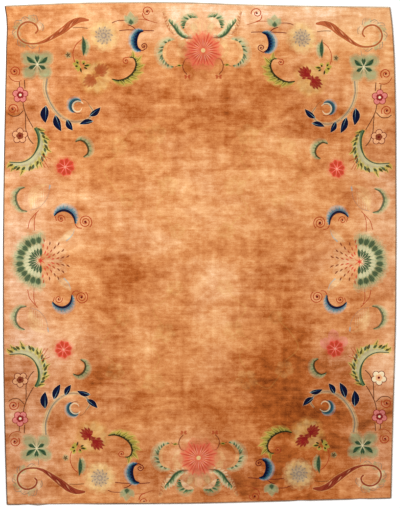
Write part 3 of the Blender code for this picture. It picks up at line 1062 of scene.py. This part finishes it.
def densely(patches, step=0.003):
    """Close points along the carved outlines, to measure from."""
    points = []
    for patch in patches:
        if patch.carved:
            for start, end in zip(patch.outline, np.roll(patch.outline, -1, axis=0)):
                count = max(1, math.ceil(np.linalg.norm(end - start) / step))
                points += [start + (end - start) * n / count for n in range(count)]
    return np.array(points)


# How the edge of the pile turns down, from the top to the back: (drawn in by, height)
EDGE_RINGS = (
    (0.0026, 0.0122),
    (0.0007, 0.0103),
    (0.0000, 0.0078),
    (0.0004, 0.0034),
    (0.0009, 0.0030),
    (0.0012, 0.0000),
)
TOP_INSET = 0.0055            # from the pile's outline in to the flat of its top
RING_UNROLL = 0.004           # from one ring of the edge to the next, where it is unrolled
BACK_UNROLL = 0.019           # from the back's border out to the end of the unrolled edge
BACK_RINGS = 2                # the lowest bands of the edge, in the wool of the back
UNEVEN = 0.0004               # how far the sheared top rises and falls, and lies below the CAD top
KEPT_CUT_ENDS = 0.6           # a cut's end nearer to an outline than this share of its reach is left out
LONG_OUTLINE = 14             # an outline with more points than this keeps every other on the back


def make_pile():
    """The rug's body: carved top, rounded edge and flat woven back, in one closed mesh."""
    outline = pile_outline()
    top_border = grown(outline, -TOP_INSET)
    back_border = grown(outline, -EDGE_RINGS[-1][0])
    patches = [patch._replace(outline=kept_in(patch.outline, top_border)) for patch in laid_out()]
    drawn = np.vstack([patch.outline for patch in patches])
    drawn_tree = tree_of(drawn)
    cut_ends = [p for p in beside(patches) if gap_to(drawn_tree, p) > KEPT_CUT_ENDS * CARVE_REACH]
    loose = np.vstack([cut_ends, field_points(top_border, drawn, FIELD_STEP)])
    top = triangulated(top_border, patches, loose)
    back_patches = [
        patch._replace(outline=patch.outline[::2] if len(patch.outline) > LONG_OUTLINE else patch.outline)
        for patch in patches if patch.on_back and patch.cover * abs(area(patch.outline)) > BACK_LEAST
    ]
    back_drawn = np.vstack([patch.outline for patch in back_patches])
    back = triangulated(back_border, back_patches, field_points(back_border, back_drawn, BACK_STEP))
    carve_tree = tree_of(densely(patches))

    def height(point):
        near = min(gap_to(carve_tree, point) / CARVE_REACH, 1.0)
        cut = 1.0 - near * near * (3 - 2 * near)
        unevenness = noise.noise((point[0] * 9.0, point[1] * 9.0, 2.0)) * UNEVEN
        return PILE_TOP - UNEVEN - CARVE_DEEP * cut + unevenness

    shape = bmesh.new()
    wool = shape.loops.layers.float_color.new("wool")
    chart = shape.loops.layers.uv.new("OFBake")
    unrolled = {}

    def add_face(corners, on_back, colour):
        face = shape.faces.new(corners)
        face.material_index = int(on_back)
        face.smooth = True
        for loop in face.loops:
            loop[wool] = colour

    def stitch(coat, z_of, on_back):
        verts = [shape.verts.new((p[0], p[1], z_of(p))) for p in coat.points]
        for corners, colour in zip(coat.triangles, coat.wool):
            add_face([verts[i] for i in (reversed(corners) if on_back else corners)], on_back, colour)
        return verts

    rings = [nearest_ring(stitch(top, height, False), top_border)]
    back_ring = nearest_ring(stitch(back, lambda p: 0.0, True), back_border)
    for drawn_in, z in EDGE_RINGS[:-1]:
        rings.append([shape.verts.new((p[0], p[1], z)) for p in grown(outline, -drawn_in)])
    for number, ring in enumerate(rings):
        unrolled.update(zip(ring, grown(outline, number * RING_UNROLL - TOP_INSET)))
    rings.append(back_ring)
    for band, (upper, lower) in enumerate(zip(rings, rings[1:])):
        count = len(upper)
        for index in range(count):
            after = (index + 1) % count
            add_face((upper[index], lower[index], lower[after], upper[after]),
                     band >= len(rings) - 1 - BACK_RINGS, (0.0, 0.0, 0.0, 0.0))
    chart_pile(shape, chart, unrolled, outline)

    piece = finished(shape, "knotted_pile")
    add_tones(piece.data)
    return piece


def nearest_ring(verts, border):
    """The mesh's own vertices at the border's points, in the border's order."""
    tree = tree_of([vert.co for vert in verts])
    return [verts[tree.find((p[0], p[1], 0.0))[1]] for p in border]


TOP_CHART = 0.262             # chart units to a metre of the rug, for its top
BACK_CHART = 0.066            # and for its back
CHART_MARGIN = 0.006
CHART_PAD = 0.03              # metres kept free round the outline, for the unrolled edge


def chart_pile(shape, chart, unrolled, outline):
    """Lays the top and its unrolled edge large on the chart, with the back small beside them."""
    low = outline.min(axis=0) - CHART_PAD
    back_start = CHART_MARGIN * 2 + (RUG_WIDTH + 2 * CHART_PAD) * TOP_CHART
    for face in shape.faces:
        flat_back = all(vert.co.z < FLAT for vert in face.verts)
        start, scale = (back_start, BACK_CHART) if flat_back else (CHART_MARGIN, TOP_CHART)
        for loop in face.loops:
            vert = loop.vert
            place = unrolled.get(vert)
            if place is None:
                place = vert.co.xy
                if vert.co.z < FLAT and not flat_back:
                    place = inset_out(place, outline)
            loop[chart].uv = (start + (place[0] - low[0]) * scale,
                              CHART_MARGIN + (place[1] - low[1]) * scale)


def inset_out(place, outline):
    """A point of the back's border moved out to where the unrolled edge ends."""
    middle = (outline.min(axis=0) + outline.max(axis=0)) / 2
    half = (outline.max(axis=0) - outline.min(axis=0)) / 2
    return middle + (np.array(place) - middle) * (1 + BACK_UNROLL / half)


def add_tones(mesh):
    """The broad lighter and rosier tones of the ground, at every point of the mesh."""
    count = len(mesh.vertices)
    places = np.empty(count * 3)
    mesh.vertices.foreach_get("co", places)
    places = places.reshape(-1, 3)
    tones = np.zeros((count, 4))
    tones[:, 0] = toned(LIGHTER, places[:, 0], places[:, 1])
    tones[:, 1] = np.clip(toned(ROSIER, places[:, 0], places[:, 1]), 0.0, 1.0)
    tones[:, 3] = 1.0
    layer = mesh.attributes.new("tones", "FLOAT_COLOR", "POINT")
    layer.data.foreach_set("color", tones.ravel())


# ---- selvedges and end webs

SECTION_GAP = 0.010           # sections of a CAD strip stand further apart than this


def middle_line(node, along):
    """The middle of a CAD strip at each of its sections; along is 0 where it runs in X, 1 in Y."""
    points = np.array([tuple(vert.co)[:2] for vert in bpy.data.objects[node].data.vertices])
    points = points[np.argsort(points[:, along])]
    breaks = np.flatnonzero(np.diff(points[:, along]) > SECTION_GAP) + 1
    return np.array([(part.min(axis=0) + part.max(axis=0)) / 2 for part in np.split(points, breaks)])


def resampled(path, step):
    """A path stepped evenly."""
    gaps = np.linalg.norm(np.diff(path, axis=0), axis=1)
    reached = np.concatenate([[0.0], np.cumsum(gaps)])
    wanted = np.linspace(0.0, reached[-1], round(reached[-1] / step) + 1)
    return np.column_stack([np.interp(wanted, reached, path[:, axis]) for axis in (0, 1)])


def make_strip(name, path, section_at):
    """A closed strip along a path; section_at(i) gives its (across, height) points there."""
    left = sideways(path)
    sides, steps = len(section_at(0)), len(path) - 1
    shape = bmesh.new()
    bmesh.ops.create_grid(shape, x_segments=sides, y_segments=steps, size=1.0)
    sections = [section_at(index) for index in range(steps + 1)]
    for vert in shape.verts:
        side = round((vert.co.x + 1) / 2 * sides) % sides
        index = round((vert.co.y + 1) / 2 * steps)
        across, height = sections[index][side]
        spot = path[index] + left[index] * across
        vert.co = (spot[0], spot[1], height)
    bmesh.ops.remove_doubles(shape, verts=shape.verts, dist=1e-6)
    bmesh.ops.holes_fill(shape, edges=[edge for edge in shape.edges if edge.is_boundary], sides=0)
    bmesh.ops.recalc_face_normals(shape, faces=shape.faces)
    for face in shape.faces:
        face.smooth = True
    return finished(shape, name)


WRAP = 0.0042                 # from one turn of the overcasting yarn to the next
WRAP_POINTS = 3
CORD_SIDES = 9
CORD_HALF = 0.004             # half the width of the cord
WRAP_SLANT = 0.6              # how far the yarn climbs in one turn, as a share of a wrap
HOLLOW = 0.12                 # how deep the hollow between two wraps is, as a share of the cord


def make_selvedge(name, node):
    """A bundle of edge warps wrapped closely with wool, flat where it lies on the floor."""
    low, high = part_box(node)
    radius = (high[2] - low[2]) / 2
    path = resampled(middle_line(node, 1), WRAP / WRAP_POINTS)

    def section(index):
        turns = index / WRAP_POINTS
        points = []
        for side in range(CORD_SIDES):
            angle = 2 * math.pi * side / CORD_SIDES - math.pi / 2
            ripple = 0.5 - 0.5 * math.cos(2 * math.pi * (turns + side / CORD_SIDES * WRAP_SLANT))
            size = 1 - HOLLOW + HOLLOW * ripple ** 0.6
            height = radius + radius * size * math.sin(angle) if side else 0.0
            points.append((CORD_HALF * size * math.cos(angle), max(0.0, height)))
        return points

    return make_strip(name, path, section)


RIB = 0.0044                  # from one warp of the web to the next
WEB_HALF = 0.0045             # half the width of the web
WEB_THICK = 0.0039            # over a warp
WEB_THIN = 0.0030             # between two warps
# The round of the web from its foot over its top: (share of the half width, share of the height)
WEB_SECTION = ((-1, 0), (1, 0), (1, 0.7), (0.7, 1), (0.25, 0.92), (-0.25, 1), (-0.7, 0.92), (-1, 0.7))


def make_end_web(name, node):
    """The narrow web of plain weave, ribbed by the warps that run out through it."""
    path = resampled(middle_line(node, 0), RIB / 2)

    def section(index):
        tall = WEB_THICK if index % 2 else WEB_THIN
        return [(WEB_HALF * across, tall * up) for across, up in WEB_SECTION]

    return make_strip(name, path, section)


# ---- materials

def new_material(name):
    """A material with a Principled shader, and the functions that set it and add the other nodes."""
    material = bpy.data.materials.new(name)
    material.use_nodes = True
    tree = material.node_tree

    def join(node, inputs):
        for key, value in inputs.items():
            if isinstance(value, bpy.types.NodeSocket):
                tree.links.new(value, node.inputs[key])
            else:
                node.inputs[key].default_value = value

    def surface(**inputs):
        join(tree.nodes["Principled BSDF"], {key.replace("_", " "): value for key, value in inputs.items()})

    def add(kind, settings=(), inputs=()):
        """A new node, with its settings, and with values or other nodes' outputs for its inputs."""
        node = tree.nodes.new("ShaderNode" + kind)
        for key, value in dict(settings).items():
            setattr(node, key, value)
        join(node, dict(inputs))
        return node

    return material, surface, add


def maths(add, operation, *values, clamp=False):
    """The result of a sum with values or other nodes' outputs."""
    settings = {"operation": operation, "use_clamp": clamp}
    return add("Math", settings, dict(enumerate(values))).outputs[0]


def spanned(add, value, low, high, to_low, to_high):
    """A value spread from one range over another."""
    return add("MapRange", inputs={
        "Value": value, "From Min": low, "From Max": high, "To Min": to_low, "To Max": to_high}).outputs[0]


def shaded(add, value, stops):
    """A colour picked by a value from (position, sRGB hex) stops."""
    ramp = add("ValToRGB", inputs={"Fac": value})
    elements = ramp.color_ramp.elements
    for index, (position, colour) in enumerate(stops):
        stop = elements[index] if index < 2 else elements.new(position)
        stop.position = position
        stop.color = (*linear(colour), 1.0)
    return ramp.outputs["Color"]


def streaks(add, place, scale, detail=3.0, rough=0.55, bent=0.0):
    """Noise stretched by a scale for each axis, and bent if asked, as a value about 0.5."""
    fitted = add("Mapping", inputs={"Vector": place, "Scale": scale})
    return add("TexNoise", inputs={
        "Vector": fitted.outputs[0], "Scale": 1.0, "Detail": detail, "Roughness": rough,
        "Distortion": bent}).outputs["Fac"]


def sums(add, total, *terms):
    """The total and each (value, amount), where a value lies about 0.5."""
    for value, amount in terms:
        total = maths(add, "ADD", total, maths(add, "MULTIPLY_ADD", value, 2 * amount, -amount))
    return total


# The ground from its darkest to its palest wool
GROUND = ((0.00, "#6C2E0A"), (0.25, "#A2521E"), (0.50, "#C67F48"), (0.75, "#E1A870"), (1.00, "#F4D2A2"))
ROSY_SHIFT = (0.97, 1.22, 2.05)       # what the madder has faded to, as a share of each primary


def wool_pile(name, on_back):
    """Hand-spun wool, knotted and sheared: a soft lustre, abrash across the rug, fine rows of knots."""
    material, surface, add = new_material(name)
    place = add("TexCoord").outputs["Object"]
    tones = add("Attribute", {"attribute_name": "tones"})
    parts = add("SeparateColor", inputs={"Color": tones.outputs["Color"]})
    drawn = add("Attribute", {"attribute_name": "wool"})

    # the ground's lighter and darker places, from broad dye lots down to single tufts
    dye_lots = streaks(add, place, (1.3, 15.0, 1.0), 5.0, 0.6, 0.8)
    knot_rows = streaks(add, place, (7.0, 120.0, 1.0), 2.0)
    creases = streaks(add, place, (16.0, 1.6, 1.0), 4.0, 0.6, 0.6)
    wear = streaks(add, place, (2.9, 4.1, 1.0), 6.0, 0.68, 0.5)
    brushed = streaks(add, place, (15.0, 22.0, 1.0), 5.0, 0.65)
    tufts = streaks(add, place, (150.0, 150.0, 1.0), 2.0)
    worn = sums(add, parts.outputs["Red"], (dye_lots, 0.50), (knot_rows, 0.22), (creases, 0.36),
                (wear, 1.22), (brushed, 0.84), (tufts, 0.40))
    ground = shaded(add, maths(add, "MULTIPLY_ADD", worn, 0.40, 0.50), GROUND)

    # the madder has faded to a rosier red, here more and there less
    faded = streaks(add, place, (1.9, 2.6, 1.0), 4.0, 0.6, 0.4)
    rosiness = maths(add, "ADD", spanned(add, faded, 0.46, 0.70, 0.0, 0.26), parts.outputs["Green"],
                     clamp=True)
    shifted = add("VectorMath", {"operation": "MULTIPLY"}, {0: ground, 1: ROSY_SHIFT})
    rosy = add("Mix", {"data_type": "RGBA"}, {"Factor": rosiness, 6: ground, 7: shifted.outputs[0]})

    # the drawing's wools, lighter and darker with the ground
    fade = spanned(add, worn, -1.0, 1.0, 0.62, 1.10)
    dyed = add("VectorMath", {"operation": "SCALE"}, {0: drawn.outputs["Color"], "Scale": fade})
    # where two wools are mixed, the knots of one and of the other still show
    half_mixed = maths(add, "PINGPONG", drawn.outputs["Alpha"], 0.5)
    strewn = maths(add, "MULTIPLY", maths(add, "SUBTRACT", brushed, 0.5), half_mixed)
    cover = maths(add, "MULTIPLY_ADD", strewn, 3.2, drawn.outputs["Alpha"], clamp=True)
    colour = add("Mix", {"data_type": "RGBA"}, {"Factor": cover, 6: rosy.outputs[2], 7: dyed.outputs[0]})

    # knots and their rows, as relief and as duller and glossier fibres
    fibres = streaks(add, place, (1 / KNOT, 1 / KNOT, 1 / KNOT), 3.0, 0.7)
    rows = add("TexWave", {"bands_direction": "Y"}, {
        "Vector": place, "Scale": 1 / (KNOT * 20), "Distortion": 1.5, "Detail": 1.0, "Detail Scale": 2.0})
    relief = maths(add, "MULTIPLY_ADD", rows.outputs["Fac"], 1.0 if on_back else 0.35, fibres)
    bump = add("Bump", inputs={"Height": relief, "Strength": 0.5, "Distance": 0.9 * MM})
    surface(Base_Color=colour.outputs[2], Normal=bump.outputs[0],
            Roughness=spanned(add, fibres, 0.0, 1.0, 0.78, 0.95), Specular_IOR_Level=0.04,
            Sheen_Weight=0.0 if on_back else 0.02, Sheen_Roughness=0.5)
    return material


def yarn(name, dark, pale, scale, rough):
    """Plain spun yarn, wrapped or woven: two close shades, with painted shade darkening the hollows."""
    material, surface, add = new_material(name)
    place = add("TexCoord").outputs["Object"]
    lots = streaks(add, place, (2.5, 2.5, 2.5), 4.0, 0.6)
    strands = streaks(add, place, scale, 3.0, 0.6)
    bump = add("Bump", inputs={"Height": strands, "Strength": 0.5, "Distance": 0.4 * MM})
    # the darker shade is painted shade, laid where the strands' bump sinks into hollows
    surface(Base_Color=shaded(add, sums(add, lots, (strands, 0.4)), ((0.25, dark), (0.80, pale))),
            Normal=bump.outputs[0], Roughness=rough, Specular_IOR_Level=0.2)
    return material


# ---- the studio

FLOOR_HALF = 12.0             # half the side of the studio floor
FLOOR_DROP = 0.0005           # it lies this far below the rug
FLOOR_PALE = 0.93
AIR_LIGHT = 0.62
# The soft lights: (place, side, power in watts)
LIGHTS = (((-3.5, 3.0, 5.0), 4.0, 330.0), ((3.5, -2.5, 5.5), 5.0, 150.0))
CAMERA_HIGH = 9.0
CAMERA_OVER = (0.0017, -0.0031)       # the spot of the rug under the lens
FRAME_TALL = 3.534            # metres of floor from the top of the frame to its foot
SENSOR = 36.0


def make_studio():
    """A pale floor, wide soft lights from above, and a camera straight over the rug."""
    shape = bmesh.new()
    bmesh.ops.create_grid(shape, x_segments=1, y_segments=1, size=FLOOR_HALF)
    bmesh.ops.translate(shape, verts=shape.verts, vec=(0.0, 0.0, -FLOOR_DROP))
    floor = finished(shape, "studio_floor")
    paint, surface, _ = new_material("pale_studio_floor")
    surface(Base_Color=(FLOOR_PALE, FLOOR_PALE, FLOOR_PALE, 1.0), Roughness=0.9, Specular_IOR_Level=0.0)
    floor.data.materials.append(paint)

    world = bpy.data.worlds.new("studio_air")
    world.use_nodes = True
    air = world.node_tree.nodes["Background"]
    air.inputs["Color"].default_value = (1.0, 1.0, 1.0, 1.0)
    air.inputs["Strength"].default_value = AIR_LIGHT
    bpy.context.scene.world = world
    for place, size, power in LIGHTS:
        light = bpy.data.lights.new("softbox", "AREA")
        light.size = size
        light.energy = power
        lamp = in_scene("softbox", light)
        lamp.location = place
        lamp.rotation_euler = (-Vector(place)).to_track_quat("-Z", "Y").to_euler()

    lens = bpy.data.cameras.new("overhead")
    lens.sensor_width = SENSOR
    lens.lens = SENSOR * (CAMERA_HIGH - PILE_TOP) / FRAME_TALL
    camera = in_scene("overhead", lens)
    camera.location = (*CAMERA_OVER, CAMERA_HIGH)
    bpy.context.scene.camera = camera
    bpy.context.scene.view_settings.view_transform = "Standard"


# ---- assembly

pile = make_pile()
pile.data.materials.append(wool_pile("knotted_wool_pile", on_back=False))
pile.data.materials.append(wool_pile("knotted_wool_back", on_back=True))
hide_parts("rug_body")
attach(pile, "root")

# the left cord's yarn is painted darker than the right's: painted shade on that side of the rug
for side, dark, pale in (("left", "#4F3B2C", "#8A6E55"), ("right", "#7E6450", "#B59B80")):
    cord = make_selvedge("overcast_cord_" + side, "selvedge_" + side)
    cord.data.materials.append(yarn("overcast_wool_" + side, dark, pale, (60.0, 240.0, 240.0), 0.85))
    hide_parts("selvedge_" + side)
    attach(cord, "root")
# the bottom web's cotton is painted darker than the top's: painted shade on that end of the rug
for end, dark, pale in (("top", "#8C7960", "#F2DFC0"), ("bottom", "#6F5846", "#B79C86")):
    web = make_end_web("woven_web_" + end, "end_web_" + end)
    web.data.materials.append(yarn("woven_cotton_" + end, dark, pale, (240.0, 420.0, 240.0), 0.9))
    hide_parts("end_web_" + end)
    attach(web, "root")

make_studio()
